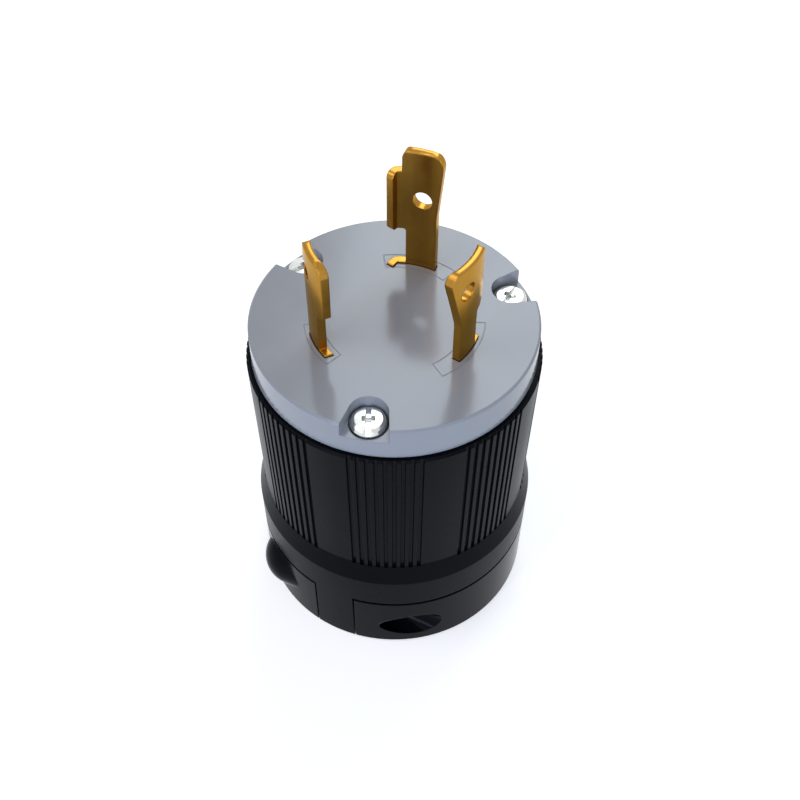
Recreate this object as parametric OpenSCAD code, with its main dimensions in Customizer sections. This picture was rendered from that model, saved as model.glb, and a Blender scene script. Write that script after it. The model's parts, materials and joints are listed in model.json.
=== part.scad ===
// Locking power plug: three curved locking blades in a grey contact face, wire terminals on a moulded
// block, a ribbed black rear housing and a two-jaw cord clamp drawn up by two screws.
// Millimetres. The rear face rests on z = 0, the plug axis is Z and the blades point along +Z.

/* [Overall] */
// Length from the rear face to the contact face
body_length = 66; // [62:0.5:80]
// Diameter of the contact face
face_d = 50.8; // [48:0.1:62]

/* [Contact face] */
// Height of the wall of the contact face that shows above the housing
face_rim_h = 7; // [6.5:0.1:10]
// Thickness of the contact face over the terminal block
face_t = 4; // [3.5:0.1:5]
// Length of the ring that centres the contact face in the housing
spigot_l = 3.5; // [2:0.1:6]
// Chamfer on the rims of the contact face
face_chamfer = 0.35; // [0.1:0.05:0.8]
// Width of the thin outline engraved round each blade
outline_w = 0.14; // [0.1:0.01:0.4]
// Depth of the thin outline
outline_depth = 0.06; // [0.04:0.01:0.3]
// Inner radius of the outline round each blade
outline_r_in = 12.5; // [11:0.1:13]
// Outer radius of the outline round each blade
outline_r_out = 15.8; // [15.5:0.1:17]

/* [Blades] */
// Radius of the outer face of the three blades
blade_r = 15; // [14.5:0.05:15.5]
// Thickness of the blade strip
blade_t = 1.4; // [1:0.05:1.6]
// Height of the hot blade above the contact face
hot_h = 20.4; // [18:0.1:24]
// Height of the neutral blade above the contact face
neutral_h = 20.8; // [18:0.1:24]
// Height of the ground blade above the contact face
ground_h = 25.5; // [22:0.1:28]
// Height of the underside of the locking lugs above the contact face
lug_z = 8.4; // [7:0.1:10]
// Height of the top of the hooked ground lug above the contact face
ground_lug_top = 21; // [18:0.1:22]
// Height of the full-width stub that stands just above the contact face
stub_h = 0.4; // [0.2:0.05:1]
// Diameter of the locating hole in each blade
blade_hole_d = 3.5; // [2.5:0.1:4]
// Height of the locating holes above the contact face
blade_hole_z = 15.3; // [13:0.1:17]
// Angle that the ground lug is bent inward
hook_angle = 57; // [30:1:80]
// Length of the bent leg of the ground lug
hook_leg = 1.2; // [0.5:0.1:2]
// Inside radius of the bend in the ground lug
hook_bend_r = 0.3; // [0.2:0.05:0.8]

/* [Terminals] */
// Width of each terminal foot
foot_w = 9; // [8:0.1:9.5]
// Length of each terminal foot below the contact face
foot_l = 17; // [15:0.5:20]
// Depth of the terminal screws below the underside of the contact face
terminal_drop = 11; // [9:0.5:12]
// Space for the bare wire between a terminal foot and its clamp plate
wire_gap = 2.5; // [2:0.1:3.2]
// Thickness of the wire clamp plates
clamp_plate_t = 1.2; // [0.8:0.1:1.6]
// Shank diameter of the terminal screws
terminal_screw_d = 4; // [3:0.1:4.5]
// Head diameter of the terminal screws
terminal_head_d = 7.4; // [6:0.1:8]
// Head height of the terminal screws
terminal_head_h = 2.3; // [1.5:0.1:2.6]
// Space between the terminal screw heads and the housing wall
terminal_margin = 2.5; // [1.5:0.1:4]
// Height of the terminal block
block_h = 20; // [18:0.5:24]

/* [Face screws] */
// Distance from the rim of the contact face in to the axis of each face screw
screw_inset = 3.7; // [3.5:0.1:4.5]
// Shank diameter of the face screws
screw_d = 3.5; // [2.5:0.1:4]
// Head diameter of the face screws
screw_head_d = 6.3; // [5:0.1:6.5]
// Head height of the face screws
screw_head_h = 2.3; // [1.5:0.1:2.6]
// Length of the face screws under the head
screw_l = 19; // [14:0.5:24]
// Radius of the arch of the notch round each face screw
notch_r = 3.4; // [3.2:0.05:4]
// Depth of the notches below the contact face
notch_depth = 2.9; // [1:0.1:3]
// Angle by which each side of a notch opens toward the rim
notch_flare = 12; // [0:1:15]
// Depth of the counterbore below the floor of each notch
counterbore_depth = 1; // [0.5:0.1:1.2]

/* [Housing] */
// Wall of the housing at the grip
wall = 3; // [2.6:0.1:4]
// Ledge of the housing that shows round the contact face
ledge_w = 0.9; // [0.4:0.05:1.5]
// Amount by which the grip narrows in radius from top to waist
grip_taper = 0.75; // [0:0.05:1.2]
// Amount by which the collar stands out from the waist in radius
collar_step = 1.25; // [0.5:0.05:2]
// Height of the waist above the rear face
waist_z = 26.4; // [24:0.1:28]
// Height of the top edge of the collar band above the rear face
collar_z = 22; // [19:0.1:23]
// Height of the split between the collar and the clamp jaws
split_z = 14.5; // [14:0.1:16]
// Thickness of the floor of the wiring chamber
floor_t = 3; // [2:0.1:4]
// Diameter of the hole in the floor that the cord passes
floor_hole_d = 22; // [18:0.5:24]
// Width of the grooves in the grip
groove_w = 0.8; // [0.4:0.05:1.1]
// Depth of the grooves in the grip
groove_depth = 0.45; // [0.3:0.05:0.8]
// Draft of the groove sides
groove_draft = 12; // [5:1:20]
// Groups of grooves round the grip
groove_groups = 8; // [4:1:8]
// Grooves in each group
grooves_per_group = 9; // [5:1:9]
// Angle between neighbouring grooves
groove_pitch = 3.38; // [3:0.01:3.6]

/* [Cord clamp] */
// Width of the two webs that part the clamp jaws
web_w = 7.9; // [6:0.1:9]
// Radial depth of the webs
web_depth = 10; // [8:0.1:11]
// Diameter of the cord grip with the jaws closed
cord_d = 10; // [8:0.5:12]
// Distance that each jaw can slide out with its screws still full depth in their nuts
jaw_travel = 3; // [2:0.25:3.25]
// Distance of the clamp screws from the plug axis
clamp_offset = 21.6; // [20.5:0.1:22]
// Height of the clamp screws above the rear face
clamp_z = 6.3; // [5.5:0.1:7]
// Shank diameter of the clamp screws
clamp_screw_d = 3.5; // [3:0.1:3.6]
// Head diameter of the clamp screws
clamp_head_d = 5.8; // [5:0.1:6]
// Head height of the clamp screws
clamp_head_h = 2.2; // [1.5:0.1:2.5]
// Diameter of the screw window in each jaw
window_d = 6.8; // [6.4:0.1:7]
// Width across the flats of the clamp nuts
nut_af = 6.35; // [6:0.05:7]
// Thickness of the clamp nuts
nut_t = 2.4; // [2:0.1:3.2]
// Radius of the rounded ear that houses the end of each clamp screw
ear_r = 6.35; // [6:0.05:6.8]

/* [Fits] */
// Gap between the collar and the tops of the clamp jaws
split_gap = 0.7; // [0.4:0.05:1]
// Gap between the webs and the closed jaws
web_gap = 0.35; // [0.3:0.05:0.5]
// Radial clearance of the contact face and block in the housing
mould_gap = 0.3; // [0.15:0.05:0.5]
// Clearance of the blades in their slots
slot_gap = 0.1; // [0.05:0.01:0.2]
// Radial clearance of a screw in its own thread
thread_gap = 0.06; // [0.03:0.01:0.1]
// Radial clearance of a screw in a plain hole
hole_gap = 0.35; // [0.3:0.05:0.6]

/* [Hidden] */
$fn = 96;
corner_steps = 8;
eps = 0.01;

// Directions round the axis, in degrees from +X
ground_a = [58.7, 81];
ground_bend_a = 87;
hot_a = [193.6, 212.7];
hot_lug_a = 219.8;
neutral_a = [316, 335.6];
neutral_lug_a = 343.4;
screw_angles = [-101.3, 18.7, 138.7];
groove_start_a = 41.5;
clamp_a = -26.3;

// Radii and heights
face_r = face_d / 2;
top_r = face_r + ledge_w;
waist_r = top_r - grip_taper;
collar_r = waist_r + collar_step;
rear_taper = 0.3;
rear_r = collar_r - rear_taper;
seat_w = wall + 0.5;
cavity_r = top_r - seat_w;
seat_z = body_length - face_rim_h;
under_z = body_length - face_t;
floor_z = split_z + split_gap / 2 + floor_t;
jaw_h = split_z - split_gap / 2;
screw_r = face_r - screw_inset;
boss_r = 4.3;
seat_gap = 0.2;
spigot_r = cavity_r - mould_gap;
recess_r = spigot_r - 1.9;
block_r = recess_r - mould_gap;
counterbore_z = body_length - notch_depth - counterbore_depth;
grip_bevel = 0.4;
rear_edge = 0.9;

// Terminal stack, measured outward from the axis along each blade's own direction
head_out = sqrt(pow(cavity_r - terminal_margin + 0.6, 2) - pow(terminal_head_d / 2, 2));
stack = blade_t + wire_gap + clamp_plate_t + terminal_head_h;
foot_x = min(head_out - stack, blade_r - blade_t - 0.1);
clamp_x = foot_x + blade_t + wire_gap;
terminal_z = under_z - terminal_drop;
shelf_w = foot_w + 4.6;
pocket_w = foot_w + 2;
blade_mid_r = blade_r - blade_t / 2;
function middle(range) = (range[0] + range[1]) / 2;
function across(a, mid) = blade_mid_r * sin(a - mid);

// Cord clamp, in a frame whose X axis is the clamp screws' direction
head_seat_x = web_w / 2 + web_gap + 2.2;
nut_x = web_w / 2 + web_gap + 1.3;
ear_x = 12.95;
ear_y = 18.65;
ear_z = 8.3;
screw_tip_x = nut_x + nut_t + 2 * jaw_travel + 0.2;

// ---- Outlines

// Points of the corner at b between its neighbours a and c, rounded to radius r
function corner(a, b, c, r) =
    let (u = (a - b) / norm(a - b), v = (c - b) / norm(c - b), half = acos(u * v) / 2,
         centre = b + (u + v) / norm(u + v) * r / sin(half), first = b + u * r / tan(half),
         last = b + v * r / tan(half), start = atan2(first.y - centre.y, first.x - centre.x),
         end = atan2(last.y - centre.y, last.x - centre.x),
         turn = (end - start + 540) % 360 - 180)
    [for (i = [0:corner_steps])
        centre + r * [cos(start + turn * i / corner_steps), sin(start + turn * i / corner_steps)]];

// An outline from [x, y, corner radius] points
function rounded(points) =
    [for (i = [0:len(points) - 1])
        let (n = len(points), p = points[i], a = points[(i + n - 1) % n], c = points[(i + 1) % n])
        each (p[2] > 0 ? corner([a[0], a[1]], [p[0], p[1]], [c[0], c[1]], p[2]) : [[p[0], p[1]]])];

module ring(r_in, r_out, z0, z1) {
    translate([0, 0, z0]) difference() {
        cylinder(r = r_out, h = z1 - z0);
        translate([0, 0, -1]) cylinder(r = r_in, h = z1 - z0 + 2);
    }
}

// Part of a round wall between two angles
module arc_wall(r_in, r_out, a0, a1, z0, z1) {
    translate([0, 0, z0]) rotate([0, 0, a0])
        rotate_extrude(angle = a1 - a0) translate([r_in, 0]) square([r_out - r_in, z1 - z0]);
}

// Extrude an upright outline outward along the direction a
module outward(a, x0, x1) {
    rotate([0, 0, a]) translate([x0, 0, 0]) rotate([90, 0, 90]) linear_extrude(x1 - x0) children();
}

// ---- Blades

// The curved strip with its top edges rounded, up to the angle a_last, cut to an upright outline
// round the direction a, of [across, height above the face, corner radius] points
module blade_plate(a, a_last, top, outline) {
    r_in = blade_r - blade_t;
    intersection() {
        rotate([0, 0, a - 40]) rotate_extrude(angle = a_last - a + 40)
            polygon(rounded([[r_in, under_z - 1, 0], [blade_r, under_z - 1, 0],
                             [blade_r, body_length + top, blade_t * 0.4],
                             [r_in, body_length + top, blade_t * 0.4]]));
        outward(a, 8, blade_r + 2) translate([0, body_length]) polygon(rounded(outline));
    }
}

// Terminal foot: a flat leg under a shelf that the face and the block hold between them
module terminal_foot(a) {
    rotate([0, 0, a]) difference() {
        union() {
            translate([foot_x, -shelf_w / 2, under_z - 0.05 - blade_t])
                cube([blade_r - 0.3 - foot_x, shelf_w, blade_t]);
            translate([foot_x, 0, 0]) rotate([90, 0, 90]) linear_extrude(blade_t)
                polygon(rounded([[-foot_w / 2, under_z - blade_t, 0], [foot_w / 2, under_z - blade_t, 0],
                                 [foot_w / 2, under_z - foot_l, 1], [-foot_w / 2, under_z - foot_l, 1]]));
        }
        translate([foot_x - 1, 0, terminal_z]) rotate([0, 90, 0])
            cylinder(d = terminal_screw_d + 2 * thread_gap, h = blade_t + 2);
    }
}

module blade_hole(a, z) {
    rotate([0, 0, a]) translate([8, 0, body_length + z]) rotate([0, 90, 0])
        cylinder(d = blade_hole_d, h = blade_r);
}

// The bend and bent leg at the edge of the ground blade, between two heights
module hook(z0, z1, r_low, r_high, grow = 0) {
    bend_in = blade_r - blade_t - hook_bend_r;
    skin = 0.02 - grow;
    translate([bend_in * cos(ground_bend_a), bend_in * sin(ground_bend_a), 0]) {
        arc_wall(hook_bend_r + skin, hook_bend_r + blade_t - skin, ground_bend_a - 8,
                 ground_bend_a + hook_angle, z0, z1);
        rotate([0, 0, ground_bend_a + hook_angle]) translate([hook_bend_r + skin + 0.02, 0, 0])
            rotate([90, 0, 90]) linear_extrude(blade_t - 2 * skin - 0.04)
                polygon(rounded([[-0.2, z0 + eps, 0], [hook_leg + grow, z0 + eps, r_low],
                                 [hook_leg + grow, z1 - eps, r_high], [-0.2, z1 - eps, 0]]));
    }
}

module ground_blade() {
    a = middle(ground_a);
    neck = across(ground_a[1], a);
    beyond = across(ground_bend_a + 6, a);
    wide = across(84, a);
    edge = across(54, a);
    color("goldenrod") difference() {
        union() {
            blade_plate(a, ground_bend_a, ground_h,
                        [[-neck, -face_t - 0.5, 0], [beyond, -face_t - 0.5, 0], [beyond, stub_h, 0],
                         [neck, stub_h, 0], [neck, lug_z, 0.6], [beyond, lug_z, 0],
                         [beyond, ground_lug_top, 0], [wide, ground_lug_top, 0],
                         [wide, ground_h, 1.6], [edge, ground_h, 2.2],
                         [edge + 0.15, 22.5, 4], [-neck, 12, 4]]);
            hook(body_length + lug_z + eps, body_length + ground_lug_top - eps, 1, 1);
            hook(under_z - 0.5 + eps, body_length + stub_h - eps, 0, 0.2);
            terminal_foot(a);
        }
        blade_hole(a - 0.5, blade_hole_z);
    }
}

module hot_blade() {
    a = middle(hot_a);
    neck = across(hot_a[1], a);
    lug = across(hot_lug_a, a);
    edge = across(188, a);
    color("goldenrod") difference() {
        union() {
            blade_plate(a, a + 40, hot_h,
                        [[-neck, -face_t - 0.5, 0], [lug, -face_t - 0.5, 0], [lug, stub_h, 0.2],
                         [neck, stub_h, 0], [neck, lug_z, 0.6], [lug, lug_z, 1.2],
                         [lug, hot_h, 2.4], [edge, hot_h, 1.5], [edge, 15, 8], [-neck, 5, 8]]);
            terminal_foot(a);
        }
        blade_hole(a - 8, blade_hole_z);
    }
}

module neutral_blade() {
    a = middle(neutral_a);
    neck = across(neutral_a[1], a);
    lug = across(neutral_lug_a, a);
    edge = across(304.5, a);
    color("goldenrod") difference() {
        union() {
            blade_plate(a, a + 40, neutral_h,
                        [[-neck, -face_t - 0.5, 0], [lug, -face_t - 0.5, 0], [lug, stub_h, 0.2],
                         [neck, stub_h, 0], [neck, lug_z, 0.6], [lug, lug_z, 1.2],
                         [lug + 0.3, neutral_h, 1], [edge - 0.2, neutral_h, 2],
                         [-neck, lug_z, 6]]);
            terminal_foot(a);
        }
        blade_hole(a - 4, blade_hole_z);
    }
}

// ---- Contact face

// A curved slot round the direction a, from w0 to w1 across and no further than the angle a_last
module blade_slot(a, a_last, w0, w1) {
    low = under_z - 0.6;
    high = body_length + 1;
    intersection() {
        arc_wall(blade_r - blade_t - slot_gap, blade_r + slot_gap, a - 40, a_last, low, high);
        outward(a, 8, blade_r + 2) translate([w0 - slot_gap, low])
            square([w1 - w0 + 2 * slot_gap, high - low]);
    }
}

// Everything that the blades need cut through the contact face and the top of the block
module blade_slots() {
    g = middle(ground_a);
    h = middle(hot_a);
    n = middle(neutral_a);
    blade_slot(g, ground_bend_a, -across(ground_a[1], g), blade_r);
    hook(under_z - 0.6, body_length + 1, 0, 0, slot_gap);
    blade_slot(h, h + 40, -across(hot_a[1], h), across(hot_lug_a, h));
    blade_slot(n, n + 40, -across(neutral_a[1], n), across(neutral_lug_a, n));
}

// A thin engraved outline between two angles
module blade_outline(a0, a1) {
    side = outline_w / outline_r_in * 57.3;
    low = body_length - outline_depth;
    high = body_length + 1;
    difference() {
        arc_wall(outline_r_in, outline_r_out, a0, a1, low, high);
        arc_wall(outline_r_in + outline_w, outline_r_out - outline_w, a0 + side, a1 - side,
                 low - 1, high + 1);
    }
}

// Notch, counterbore and through hole for one face screw
module screw_notch(a) {
    start = (notch_r - 0.03) / cos(notch_flare);
    reach = screw_inset + 3;
    side = tan(notch_flare);
    rotate([0, 0, a]) {
        translate([screw_r, 0, body_length - notch_depth]) {
            cylinder(r = notch_r, h = notch_depth + 1);
            linear_extrude(notch_depth + 1)
                polygon([[-1, -start + side], [reach, -start - reach * side],
                         [reach, start + reach * side], [-1, start - side]]);
        }
        translate([screw_r, 0, counterbore_z]) cylinder(r = notch_r - 0.04, h = 5);
        translate([screw_r, 0, 0]) cylinder(d = screw_d + 2 * hole_gap, h = body_length);
    }
}

module front_face() {
    color("lightsteelblue") difference() {
        union() {
            rotate_extrude()
                polygon([[0, under_z], [0, body_length], [face_r - face_chamfer, body_length],
                         [face_r, body_length - face_chamfer], [face_r, seat_z + face_chamfer],
                         [face_r - face_chamfer, seat_z], [recess_r, seat_z], [recess_r, under_z]]);
            ring(recess_r, spigot_r, seat_z - spigot_l, seat_z + 0.5);
            intersection() {
                for (a = screw_angles)
                    rotate([0, 0, a]) translate([screw_r, 0, seat_z + 2 * seat_gap])
                        cylinder(r = boss_r, h = under_z - seat_z);
                cylinder(r = face_r - 1, h = body_length);
            }
        }
        for (a = screw_angles) {
            screw_notch(a);
            rotate([0, 0, a]) translate([screw_r, 0, 0])
                cylinder(r = boss_r + mould_gap, h = seat_z + seat_gap);
        }
        blade_slots();
        blade_outline(46, 97.5);
        blade_outline(186, 224.2);
        blade_outline(300, 355.6);
    }
}

// ---- Terminals

module terminal_pocket(a) {
    deep = under_z - block_h - 1;
    rotate([0, 0, a]) {
        translate([foot_x, -pocket_w / 2, deep]) cube([face_r, pocket_w, block_h + 2]);
        translate([foot_x, -shelf_w / 2 - 0.1, under_z - blade_t - 0.05])
            cube([face_r, shelf_w + 0.2, blade_t + 1]);
        translate([foot_x - 4, 0, terminal_z]) rotate([0, 90, 0])
            cylinder(d = terminal_screw_d + 2 * hole_gap, h = 5);
    }
}

module terminal_block() {
    color("dimgray") difference() {
        translate([0, 0, under_z - block_h]) cylinder(r = block_r, h = block_h);
        for (a = [middle(ground_a), middle(hot_a), middle(neutral_a)]) terminal_pocket(a);
        for (a = screw_angles)
            rotate([0, 0, a]) translate([screw_r, 0, 0])
                cylinder(r = boss_r + 2 * mould_gap, h = body_length);
        blade_slots();
    }
}

// Clamp plate with two ears that straddle the terminal foot
module wire_clamp(a) {
    ear = 0.6;
    half = foot_w / 2 + 0.1;
    side = foot_w;
    color("silver") rotate([0, 0, a]) difference() {
        translate([clamp_x - 1.6, -half - ear, terminal_z - side / 2])
            cube([clamp_plate_t + 1.6, 2 * (half + ear), side]);
        translate([clamp_x - 3, -half, terminal_z - side]) cube([3, 2 * half, 2 * side]);
        translate([clamp_x - 1, 0, terminal_z]) rotate([0, 90, 0])
            cylinder(d = terminal_screw_d + 2 * hole_gap, h = clamp_plate_t + 2);
    }
}

// Slotted round head: a flat top with a bevelled edge, its underside at z = 0
module slotted_head(d, h) {
    difference() {
        rotate_extrude() polygon([[0, 0], [d / 2, 0], [d / 2, h - 0.5], [d / 2 - 0.5, h], [0, h]]);
        translate([-d, -0.55, h - 0.9]) cube([2 * d, 1.1, 2]);
    }
}

module terminal_screw(a, tint) {
    reach = clamp_x + clamp_plate_t - foot_x + 2.4;
    color(tint) rotate([0, 0, a]) translate([clamp_x + clamp_plate_t, 0, terminal_z])
        rotate([0, 90, 0]) {
            slotted_head(terminal_head_d, terminal_head_h);
            translate([0, 0, -reach]) cylinder(d = terminal_screw_d, h = reach + 0.5);
        }
}

// ---- Face screws

// Pan head with a slot and a cross recess, its underside at z = 0
module combination_head(d, h) {
    difference() {
        rotate_extrude() polygon([[0, 0], [d / 2, 0], [d / 2, h - 0.9], [d / 2 - 0.25, h - 0.35],
                                  [d / 2 - 0.8, h], [0, h + 0.15]]);
        translate([-d, -0.45, h - 0.75]) cube([2 * d, 0.9, 2]);
        for (turn = [0, 90])
            rotate([0, 0, turn]) translate([0, 0, h - 1.4]) rotate([90, 0, 0])
                translate([0, 0, -0.5]) linear_extrude(1)
                    polygon([[-0.6, 0], [0.6, 0], [1.7, 3], [-1.7, 3]]);
    }
}

module face_screw(a, turn) {
    color("gainsboro") rotate([0, 0, a]) translate([screw_r, 0, counterbore_z]) rotate([0, 0, turn]) {
        combination_head(screw_head_d, screw_head_h);
        translate([0, 0, -screw_l]) cylinder(d = screw_d, h = screw_l + 0.5);
    }
}

// ---- Rear housing

module grip_grooves() {
    lean = atan(grip_taper / (seat_z - waist_z));
    floor_w = groove_w - 2 * groove_depth * tan(groove_draft);
    mouth_w = groove_w + 2 * groove_depth * tan(groove_draft);
    tip = grooves_per_group - 1;
    for (g = [0:groove_groups - 1], i = [0:tip])
        rotate([0, 0, groove_start_a + g * 360 / groove_groups + (i - tip / 2) * groove_pitch])
            translate([waist_r, 0, waist_z]) rotate([0, lean, 0]) translate([0, 0, -0.4])
                linear_extrude(seat_z - waist_z + 4)
                    polygon([[-groove_depth, -floor_w / 2], [groove_depth, -mouth_w / 2],
                             [groove_depth, mouth_w / 2], [-groove_depth, floor_w / 2]]);
}

// Turned outside of the clamp end, from the rear face up to height z1
module clamp_envelope(z1) {
    rotate_extrude()
        polygon(rounded([[0, 0, 0], [rear_r, 0, rear_edge],
                         [rear_r + (collar_r - rear_r) * z1 / collar_z, z1, 0], [0, z1, 0]]));
}

// Everything below the collar except the two webs
module jaw_space() {
    difference() {
        translate([-face_d, -face_d, -1]) cube([2 * face_d, 2 * face_d, split_z + split_gap / 2 + 1]);
        rotate([0, 0, clamp_a]) for (side = [0, 180])
            rotate([0, 0, side]) translate([-web_w / 2, rear_r - web_depth, -2])
                cube([web_w, 2 * web_depth, split_z + 10]);
    }
}

module housing_shell() {
    difference() {
        rotate_extrude()
            polygon(rounded([[0, 0, 0], [rear_r, 0, rear_edge], [collar_r, collar_z, 0],
                             [waist_r, waist_z, 0], [top_r, seat_z - grip_bevel, 0],
                             [top_r - grip_bevel, seat_z, 0], [cavity_r, seat_z, 0],
                             [cavity_r, floor_z, 0], [floor_hole_d / 2, floor_z, 0],
                             [floor_hole_d / 2, split_z, 0], [0, split_z, 0]]));
        jaw_space();
        grip_grooves();
    }
}

module screw_boss(a) {
    reach = screw_l + 8;
    intersection() {
        rotate([0, 0, a]) translate([screw_r, 0, seat_z - reach])
            cylinder(r = boss_r, h = reach - seat_gap);
        cylinder(r = cavity_r + 1, h = seat_z);
    }
}

module rear_housing() {
    color("#26272b") difference() {
        union() {
            housing_shell();
            for (a = screw_angles) screw_boss(a);
        }
        for (a = screw_angles)
            rotate([0, 0, a]) translate([screw_r, 0, counterbore_z - screw_l - 1])
                cylinder(d = screw_d + 2 * thread_gap, h = screw_l + 4);
        for (side = [0, 180])
            rotate([0, 0, clamp_a + side]) translate([-web_w, -clamp_offset, clamp_z])
                rotate([0, 90, 0]) cylinder(d = clamp_screw_d + 2 * hole_gap + 0.3, h = 2 * web_w);
    }
}

// ---- Cord clamp

// The cord grip: a bore with two relief grooves and a flared mouth
module cord_bore() {
    r = cord_d / 2;
    translate([0, 0, -1]) cylinder(r = r, h = jaw_h + 2);
    for (z = [3.6, 8.4]) translate([0, 0, z]) cylinder(r = r + 0.8, h = 2.2);
    translate([0, 0, -eps]) cylinder(r1 = r + 1.2, r2 = r, h = 1.2);
    translate([0, 0, jaw_h - 1.2 + eps]) cylinder(r1 = r, r2 = r + 1.2, h = 1.2);
}

// Rounded ear that stands out of a jaw round the end of the other jaw's screw
module ear(start_x) {
    intersection() {
        union() {
            translate([start_x, ear_y, ear_z]) rotate([0, 90, 0])
                cylinder(r = ear_r, h = ear_x - start_x);
            translate([ear_x, ear_y, ear_z]) sphere(r = ear_r);
        }
        cube([face_d, face_d, jaw_h - 0.02]);
    }
}

// One jaw, with its open side toward -X and the head of its own screw on the -Y side
module jaw() {
    part_x = web_w / 2 + web_gap;
    inner_y = rear_r - web_depth - web_gap;
    difference() {
        union() {
            intersection() {
                clamp_envelope(jaw_h);
                union() {
                    translate([part_x, -face_d, 0]) cube([face_d, 2 * face_d, jaw_h]);
                    translate([0.6, -inner_y, 0]) cube([face_d, 2 * inner_y, jaw_h]);
                }
            }
            ear(part_x);
        }
        cord_bore();
        translate([head_seat_x, -clamp_offset, clamp_z]) rotate([0, 90, 0])
            cylinder(d = window_d, h = face_d);
        translate([0, -clamp_offset, clamp_z]) rotate([0, 90, 0])
            cylinder(d = clamp_screw_d + 2 * hole_gap, h = face_d);
        translate([0, clamp_offset, clamp_z]) rotate([0, 90, 0])
            cylinder(d = clamp_screw_d + 2 * hole_gap, h = screw_tip_x + 0.2);
        translate([nut_x - 0.1, clamp_offset - nut_af / 2 - 0.1, clamp_z - nut_af / sqrt(3) - 0.1])
            cube([nut_t + 0.2, nut_af + 0.2, jaw_h]);
    }
}

module clamp_screw() {
    translate([head_seat_x, -clamp_offset, clamp_z]) rotate([0, 90, 0]) {
        slotted_head(clamp_head_d, clamp_head_h);
        translate([0, 0, -head_seat_x - screw_tip_x])
            cylinder(d = clamp_screw_d, h = head_seat_x + screw_tip_x + 0.5);
    }
}

module clamp_nut() {
    translate([nut_x, clamp_offset, clamp_z]) rotate([0, 90, 0]) difference() {
        cylinder(d = nut_af / cos(30), h = nut_t, $fn = 6);
        translate([0, 0, -1]) cylinder(d = clamp_screw_d + 2 * thread_gap, h = nut_t + 2);
    }
}

// Place a clamp piece on the right side, or turned half a turn for the left side
module clamp_side(half_turn) {
    rotate([0, 0, clamp_a + half_turn]) children();
}

module clamp_jaw_right() { color("#2b2c30") clamp_side(0) jaw(); }
module clamp_jaw_left() { color("#2b2c30") clamp_side(180) jaw(); }
module clamp_screw_front() { color("#55565a") clamp_side(0) clamp_screw(); }
module clamp_screw_rear() { color("#55565a") clamp_side(180) clamp_screw(); }
module clamp_nut_front() { color("silver") clamp_side(180) clamp_nut(); }
module clamp_nut_rear() { color("silver") clamp_side(0) clamp_nut(); }

front_face();
terminal_block();
rear_housing();
ground_blade();
hot_blade();
neutral_blade();
wire_clamp(middle(ground_a));  // ground_wire_clamp
wire_clamp(middle(hot_a));  // hot_wire_clamp
wire_clamp(middle(neutral_a));  // neutral_wire_clamp
terminal_screw(middle(ground_a), "green");  // ground_terminal_screw
terminal_screw(middle(hot_a), "goldenrod");  // hot_terminal_screw
terminal_screw(middle(neutral_a), "silver");  // neutral_terminal_screw
face_screw(screw_angles[0], 11.3);  // face_screw_front
face_screw(screw_angles[1], 40);  // face_screw_right
face_screw(screw_angles[2], 70);  // face_screw_left
clamp_jaw_right();
clamp_jaw_left();
clamp_screw_front();
clamp_screw_rear();
clamp_nut_front();
clamp_nut_rear();
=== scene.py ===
"""Looks for the locking power plug: materials, lights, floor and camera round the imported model."""
import json
import math

import bmesh
import bpy
from mathutils import Matrix, Vector


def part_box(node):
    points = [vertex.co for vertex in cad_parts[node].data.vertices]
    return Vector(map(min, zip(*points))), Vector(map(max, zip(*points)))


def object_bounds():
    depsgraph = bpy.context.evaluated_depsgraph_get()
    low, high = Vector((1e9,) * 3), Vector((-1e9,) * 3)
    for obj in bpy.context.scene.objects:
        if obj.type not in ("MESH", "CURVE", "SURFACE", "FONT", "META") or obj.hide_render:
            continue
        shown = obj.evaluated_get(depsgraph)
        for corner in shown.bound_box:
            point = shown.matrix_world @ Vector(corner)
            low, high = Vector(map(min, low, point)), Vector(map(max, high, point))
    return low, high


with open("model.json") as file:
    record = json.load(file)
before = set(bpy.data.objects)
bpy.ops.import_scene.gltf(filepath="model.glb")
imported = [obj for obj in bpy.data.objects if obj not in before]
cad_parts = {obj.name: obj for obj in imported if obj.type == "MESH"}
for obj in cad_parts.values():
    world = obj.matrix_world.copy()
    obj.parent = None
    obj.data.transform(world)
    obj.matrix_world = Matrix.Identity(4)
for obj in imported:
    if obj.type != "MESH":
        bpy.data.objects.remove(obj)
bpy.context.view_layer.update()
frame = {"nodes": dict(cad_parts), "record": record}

MM = 0.001

# ---- Places, all from the frame
low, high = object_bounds()
face_low, face_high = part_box("front_face")
face_z = face_high.z
face_r = (face_high.x - face_low.x) / 2
rear_z = low.z


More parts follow.
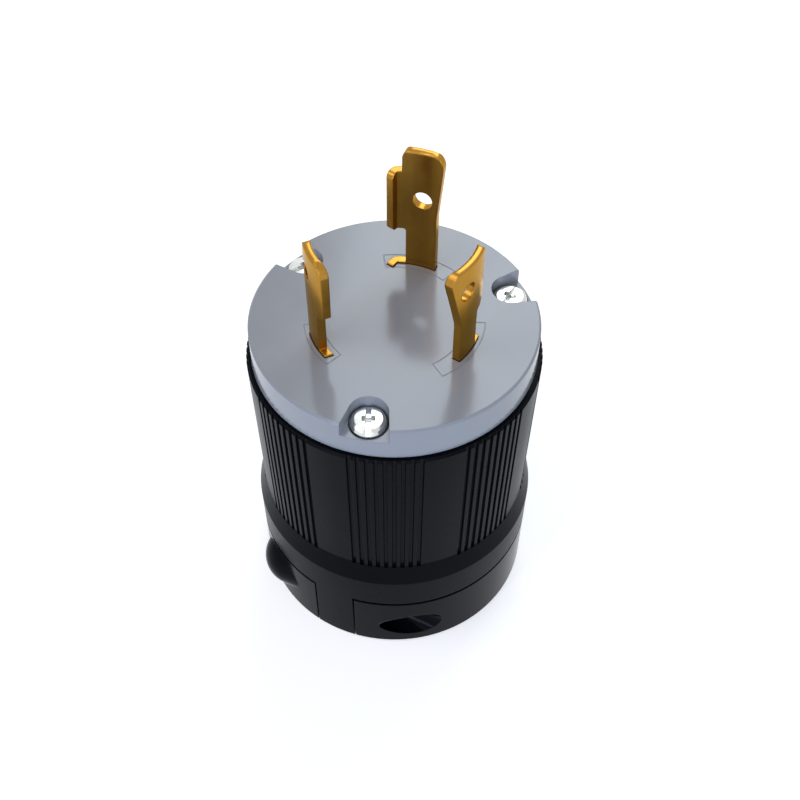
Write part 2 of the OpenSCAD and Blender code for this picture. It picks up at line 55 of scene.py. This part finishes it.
# ---- Node helpers
class Graph:
    """A short way to write a material's nodes."""

    def __init__(self, name):
        self.mat = bpy.data.materials.new(name)
        self.mat.use_nodes = True
        self.tree = self.mat.node_tree
        self.tree.nodes.clear()
        self.out = self.tree.nodes.new("ShaderNodeOutputMaterial")
        self.bsdf = self.tree.nodes.new("ShaderNodeBsdfPrincipled")
        self.tree.links.new(self.bsdf.outputs["BSDF"], self.out.inputs["Surface"])
        self.coord = self.tree.nodes.new("ShaderNodeTexCoord").outputs["Object"]

    def add(self, kind, inputs=None, **fields):
        node = self.tree.nodes.new(kind)
        for key, value in fields.items():
            setattr(node, key, value)
        for key, value in (inputs or {}).items():
            if isinstance(value, bpy.types.NodeSocket):
                self.tree.links.new(value, node.inputs[key])
            else:
                node.inputs[key].default_value = value
        return node

    def set(self, key, value):
        if isinstance(value, bpy.types.NodeSocket):
            self.tree.links.new(value, self.bsdf.inputs[key])
        else:
            self.bsdf.inputs[key].default_value = value

    def math(self, operation, a, b=0.0, c=0.0):
        return self.add("ShaderNodeMath", {0: a, 1: b, 2: c}, operation=operation).outputs[0]

    def stretched(self, scale):
        return self.add("ShaderNodeMapping", {"Vector": self.coord, "Scale": scale}).outputs["Vector"]

    def noise(self, scale, detail=3.0, rough=0.55, vector=None):
        return self.add("ShaderNodeTexNoise", {"Vector": vector or self.coord, "Scale": scale,
                                               "Detail": detail, "Roughness": rough}).outputs["Fac"]

    def ramp(self, fac, stops):
        node = self.add("ShaderNodeValToRGB", {"Fac": fac})
        ramp = node.color_ramp
        while len(ramp.elements) < len(stops):
            ramp.elements.new(0.5)
        for element, (place, value) in zip(ramp.elements, stops):
            element.position = place
            shade = value if isinstance(value, tuple) else (value, value, value)
            element.color = (*shade, 1.0)
        return node.outputs["Color"]

    def mix(self, fac, a, b):
        node = self.add("ShaderNodeMix", data_type="RGBA")
        for place, value in ((0, fac), (6, a), (7, b)):
            if isinstance(value, bpy.types.NodeSocket):
                self.tree.links.new(value, node.inputs[place])
            elif place == 0:
                node.inputs[0].default_value = value
            else:
                node.inputs[place].default_value = (*value, 1.0)
        return node.outputs[2]

    def bump(self, height, distance, strength=1.0, normal=None):
        inputs = {"Height": height, "Distance": distance, "Strength": strength}
        if normal is not None:
            inputs["Normal"] = normal
        return self.add("ShaderNodeBump", inputs).outputs["Normal"]

    def edge(self, radius):
        """Softened edges, as moulding and tumbling leave them."""
        return self.add("ShaderNodeBevel", {"Radius": radius}, samples=4).outputs["Normal"]


# ---- Materials
def moulded(name, dark, light, rough, grain, soft, spec=0.5):
    """Moulded plastic: flow clouding, fine spark-eroded grain and softened edges."""
    g = Graph(name)
    cloud = g.noise(90.0, 4.0, 0.6)
    fine = g.noise(900.0, 2.0, 0.5)
    shade = g.mix(cloud, dark, light)
    g.set("Base Color", shade)
    low_rough = g.math("MULTIPLY_ADD", cloud, 0.10, rough - 0.07)
    g.set("Roughness", g.math("MULTIPLY_ADD", fine, 0.06, low_rough))
    g.set("IOR", 1.5)
    g.set("Specular IOR Level", spec)
    rounded = g.edge(soft)
    grained = g.bump(g.noise(3200.0, 2.0, 0.6), grain, 0.6, rounded)
    waved = g.bump(g.noise(160.0, 2.0, 0.5), 0.00003, 0.35, grained)
    g.set("Normal", waved)
    return g.mat


def metal(name, dark, light, rough, spread, along, soft, scratch=0.000006, edge_tint=(1, 1, 1)):
    """Rolled or plated metal: drawn lines, tarnish clouds and dull, softened edges."""
    g = Graph(name)
    lines = g.noise(500.0, 3.0, 0.7, g.stretched(along))
    cloud = g.noise(260.0, 5.0, 0.65)
    fac = g.math("MULTIPLY_ADD", lines, 0.35, g.math("MULTIPLY_ADD", cloud, 0.9, -0.15))
    g.set("Base Color", g.mix(fac, dark, light))
    g.set("Metallic", 1.0)
    g.set("Specular Tint", (*edge_tint, 1.0))
    low_rough = g.math("MULTIPLY_ADD", lines, spread, rough - spread * 0.5)
    g.set("Roughness", g.math("MULTIPLY_ADD", cloud, spread, low_rough))
    lined = g.bump(lines, scratch, 0.5, g.edge(soft))
    g.set("Normal", g.bump(g.noise(130.0, 2.0, 0.5), 0.00002, 0.3, lined))
    return g.mat


face_grey = moulded("face_grey_nylon", (0.272, 0.276, 0.286), (0.302, 0.306, 0.318), 0.15, 0.000002,
                    0.00018)
housing_black = moulded("housing_black_nylon", (0.0022, 0.0024, 0.0032), (0.0042, 0.0045, 0.0056), 0.28,
                        0.000004, 0.00015, spec=0.035)
jaw_black = moulded("jaw_black_nylon", (0.002, 0.0023, 0.0031), (0.004, 0.0044, 0.0056), 0.16, 0.000003,
                    0.0002, spec=0.045)
block_black = moulded("block_black_nylon", (0.02, 0.02, 0.022), (0.03, 0.03, 0.032), 0.5, 0.00001,
                      0.0002)
brass = metal("brass_strip", (0.30, 0.145, 0.022), (0.48, 0.255, 0.044), 0.20, 0.08, (1.0, 1.0, 0.12),
              0.0003, edge_tint=(0.92, 0.78, 0.55))
plated = metal("zinc_plated_steel", (0.46, 0.46, 0.44), (0.66, 0.66, 0.63), 0.34, 0.12,
               (1.0, 1.0, 0.2), 0.0001)
green = metal("green_dyed_steel", (0.015, 0.11, 0.04), (0.04, 0.24, 0.09), 0.32, 0.10,
              (1.0, 1.0, 1.0), 0.0001)
brass_turned = metal("turned_brass", (0.5, 0.32, 0.10), (0.76, 0.53, 0.2), 0.25, 0.1,
                     (1.0, 1.0, 1.0), 0.0001)
nickel = metal("nickel_plated_steel", (0.55, 0.55, 0.53), (0.75, 0.74, 0.71), 0.24, 0.1,
               (1.0, 1.0, 1.0), 0.0001)
bright = metal("bright_plated_steel", (0.55, 0.56, 0.55), (0.80, 0.81, 0.79), 0.16, 0.08,
               (1.0, 1.0, 1.0), 0.00012)
black_metal = metal("black_oxide_steel", (0.02, 0.02, 0.022), (0.05, 0.05, 0.055), 0.38, 0.12,
                    (1.0, 1.0, 1.0), 0.0001)

BY_SLOT = {"face_grey": face_grey, "block_nylon": block_black, "housing_nylon": housing_black,
           "jaw_nylon": jaw_black, "brass_strip": brass, "plated_steel": plated,
           "green_screw": green, "brass_screw": brass_turned, "silver_screw": nickel,
           "bright_screw": bright, "black_screw": black_metal}
for part in frame["record"]["subparts"]:
    shown = frame["nodes"][part["node"]]
    shown.data.materials.clear()
    shown.data.materials.append(BY_SLOT[part["material_slot"]])

# ---- Floor and backdrop
def seen_rays(tree):
    """1 for camera, glossy and transmission rays, 0 for the rays that carry light to the object."""
    path = tree.nodes.new("ShaderNodeLightPath")
    total = path.outputs["Is Camera Ray"]
    for ray in ("Is Glossy Ray", "Is Transmission Ray"):
        larger = tree.nodes.new("ShaderNodeMath")
        larger.operation = "MAXIMUM"
        tree.links.new(total, larger.inputs[0])
        tree.links.new(path.outputs[ray], larger.inputs[1])
        total = larger.outputs[0]
    return total


def stage_material(albedo, glow):
    """A matt white floor that keeps shadows, with a glow that only seen rays get."""
    g = Graph("stage_white")
    g.set("Base Color", (albedo, albedo, albedo, 1.0))
    g.set("Roughness", 1.0)
    g.set("Specular IOR Level", 0.0)
    g.set("Emission Color", (1.0, 0.96, 0.91, 1.0))
    g.set("Emission Strength", g.math("MULTIPLY", seen_rays(g.tree), glow))
    return g.mat


reach = 40 * face_r
bpy.ops.mesh.primitive_plane_add(size=reach, location=(0, 0, rear_z))
floor = bpy.context.object
floor.name = "floor"
floor.data.materials.append(stage_material(0.80, 0.54))

# ---- World: white where the camera looks past the floor, soft grey as light
world = bpy.data.worlds.new("studio")
bpy.context.scene.world = world
world.use_nodes = True
tree = world.node_tree
tree.nodes.clear()
white = tree.nodes.new("ShaderNodeBackground")
white.inputs["Color"].default_value = (1, 1, 1, 1)
white.inputs["Strength"].default_value = 1.0
soft = tree.nodes.new("ShaderNodeBackground")
soft.inputs["Color"].default_value = (0.84, 0.91, 1.0, 1)
soft.inputs["Strength"].default_value = 0.36
blend = tree.nodes.new("ShaderNodeMixShader")
world_out = tree.nodes.new("ShaderNodeOutputWorld")
tree.links.new(seen_rays(tree), blend.inputs["Fac"])
tree.links.new(soft.outputs[0], blend.inputs[1])
tree.links.new(white.outputs[0], blend.inputs[2])
tree.links.new(blend.outputs[0], world_out.inputs["Surface"])


# ---- Lights
def area(name, place, aim, size, power, tint=(1, 1, 1)):
    data = bpy.data.lights.new(name, "AREA")
    data.shape = "RECTANGLE"
    data.size, data.size_y = size
    data.energy = power
    data.color = tint
    lamp = bpy.data.objects.new(name, data)
    bpy.context.scene.collection.objects.link(lamp)
    lamp.location = place
    lamp.rotation_euler = (Vector(aim) - Vector(place)).to_track_quat("-Z", "Y").to_euler()
    return lamp


middle = Vector((0, 0, face_z / 2))
area("back_softbox", (0.17, 0.52, 0.56), middle, (0.44, 0.42), 2.3, (0.84, 0.92, 1.0))
area("key_top_left", (-0.42, -0.10, 0.60), middle, (0.35, 0.35), 0.85, (1.0, 0.96, 0.90))
area("front_fill", (0.05, -0.66, 0.28), middle, (0.45, 0.35), 2.9, (0.58, 0.73, 1.0))
area("left_strip", (-0.334, -0.398, 0.30), middle, (0.05, 0.14), 0.50, (0.50, 0.58, 1.0))

# ---- Camera at the photo's angle
EYE_DISTANCE = 0.2101
EYE_RISE = math.radians(46.08)
DOWN_TILT = math.radians(3.905)
YAW = math.radians(0.258)
camera_data = bpy.data.cameras.new("camera")
camera_data.sensor_width = 36.0
camera_data.lens = 36.0 * 1211 / 800
camera = bpy.data.objects.new("camera", camera_data)
bpy.context.scene.collection.objects.link(camera)
camera.location = (0, -EYE_DISTANCE * math.cos(EYE_RISE), face_z + EYE_DISTANCE * math.sin(EYE_RISE))
aim = (Matrix.Rotation(math.pi / 2 - EYE_RISE, 3, "X") @ Matrix.Rotation(-YAW, 3, "Y")
       @ Matrix.Rotation(-DOWN_TILT, 3, "X"))
camera.rotation_euler = aim.to_euler()
bpy.context.scene.camera = camera

# ---- Finish with the Standard view transform
bpy.context.scene.view_settings.view_transform = "Standard"
